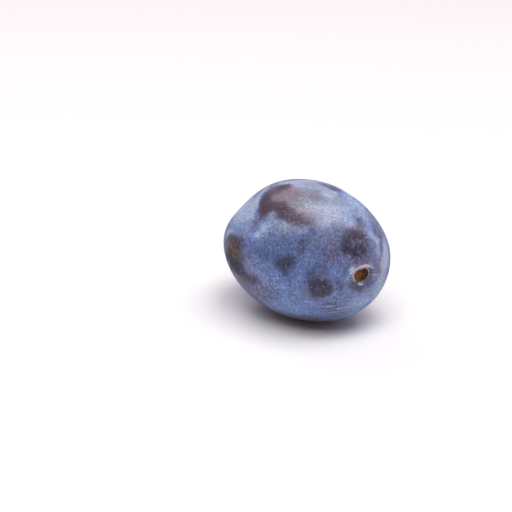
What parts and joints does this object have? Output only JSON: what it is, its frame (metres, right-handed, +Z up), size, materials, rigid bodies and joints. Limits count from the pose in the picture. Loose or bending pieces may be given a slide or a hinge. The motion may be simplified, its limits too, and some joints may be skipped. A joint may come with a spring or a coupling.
{
  "type": "plum",
  "caption": "Whole oval blue-black plum lying on its side, with an open stalk scar at one end and a shallow crease along it.",
  "frame": {"origin": "on the surface the fruit lies on, under the middle of its bounding box", "axes": "+X along the long axis towards the stalk end, +Z up as the fruit lies, +Y across, on the side of the crease"},
  "size_m": [0.0538, 0.0396, 0.0372],
  "materials": {
    "plum": "ripe fruit skin, purple-black under a powdery blue bloom, matt where the bloom is thick and satin where it is rubbed off"
  },
  "bodies": {
    "root": {"plum": "plum"}
  },
  "joints": []
}
